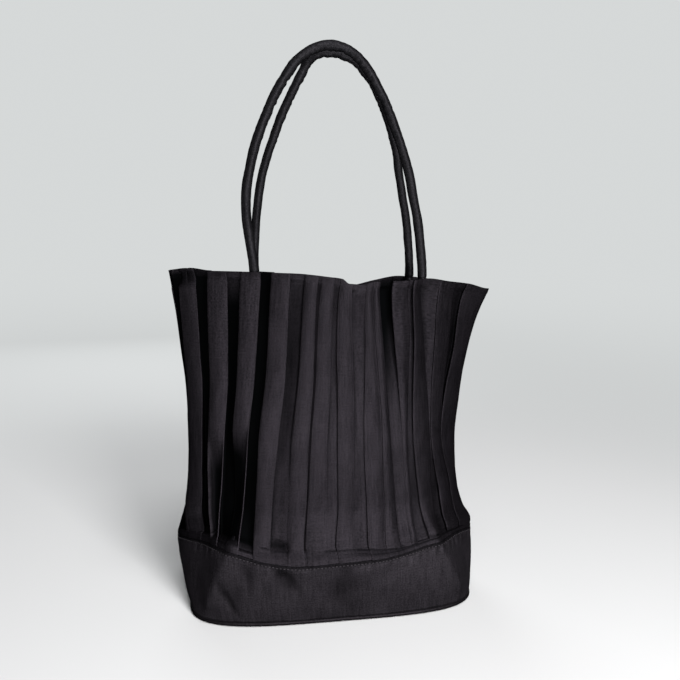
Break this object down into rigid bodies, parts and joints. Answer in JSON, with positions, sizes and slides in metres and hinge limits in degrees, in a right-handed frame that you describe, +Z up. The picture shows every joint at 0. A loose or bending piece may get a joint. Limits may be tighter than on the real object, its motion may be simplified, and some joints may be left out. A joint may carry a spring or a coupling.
{
  "type": "pleated bucket bag",
  "caption": "Soft hand bag with a pleated cloth wall, a plain band round an oval base, an open pointed mouth and stuffed cloth handles, for carrying small things.",
  "frame": {"origin": "middle of the base panel's underside, on the surface that the bag stands on", "axes": "+X along the width to the bag's right end as seen from the front, +Y from the front to the back, +Z up"},
  "size_m": [0.324, 0.145, 0.557],
  "materials": {
    "pleated_satin": "black woven satin, pressed into pleats",
    "plain_satin": "black woven satin, smooth",
    "base_satin": "black woven satin, padded",
    "handle_satin": "black woven satin over soft stuffing"
  },
  "bodies": {
    "root": {"pleated_body": "pleated_satin", "base_band": "plain_satin", "base_panel": "base_satin", "handle_front": "handle_satin", "handle_back": "handle_satin"}
  },
  "joints": []
}
